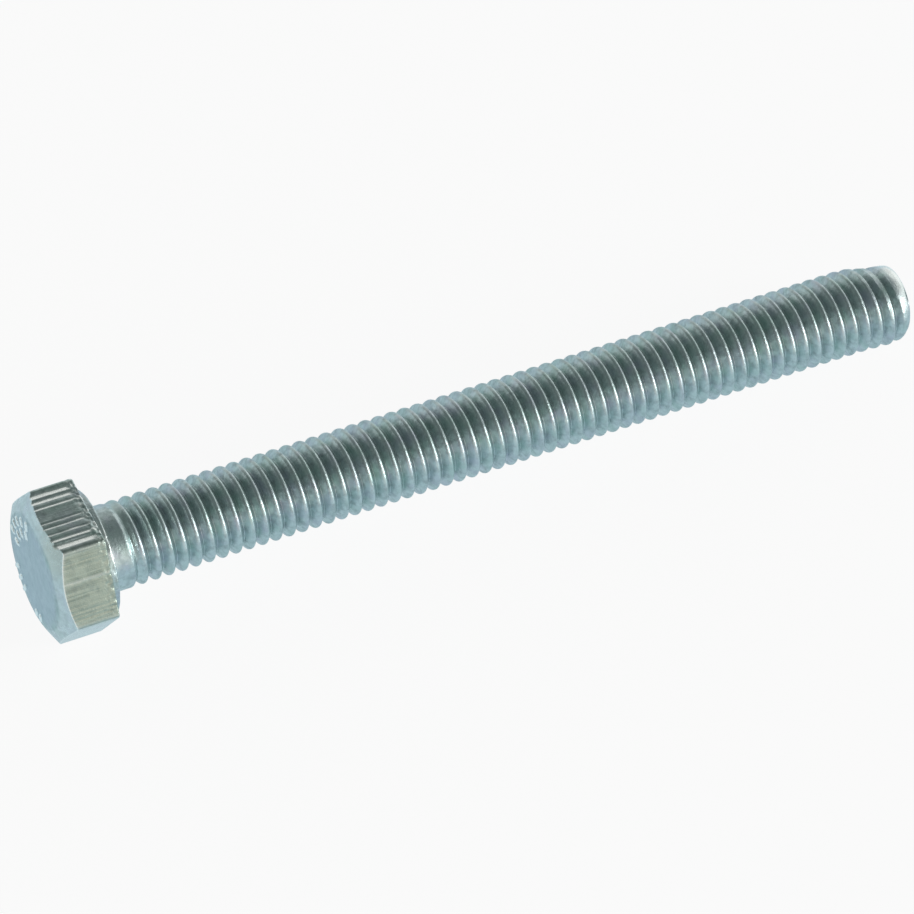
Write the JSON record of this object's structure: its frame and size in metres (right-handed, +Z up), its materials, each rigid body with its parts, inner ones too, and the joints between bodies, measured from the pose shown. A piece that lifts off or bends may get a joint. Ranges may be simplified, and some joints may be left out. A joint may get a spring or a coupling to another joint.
{
  "type": "hexagon head screw",
  "caption": "Zinc-plated hexagon-head machine screw with a chamfered head, a washer face, a short plain neck and a right-hand thread along the whole shank.",
  "frame": {"origin": "centre of the bearing face, the flat face of the washer face under the head, on the thread's axis", "axes": "+X along the axis from the head to the tip, +Z up and square to the flat that the head lies on, +Y completes the right-handed set"},
  "size_m": [0.0534, 0.0092, 0.008],
  "materials": {
    "zinc_plated_steel": "bright blue-clear zinc plating over cold-forged steel"
  },
  "bodies": {
    "root": {"hex_bolt": "zinc_plated_steel"}
  },
  "joints": []
}
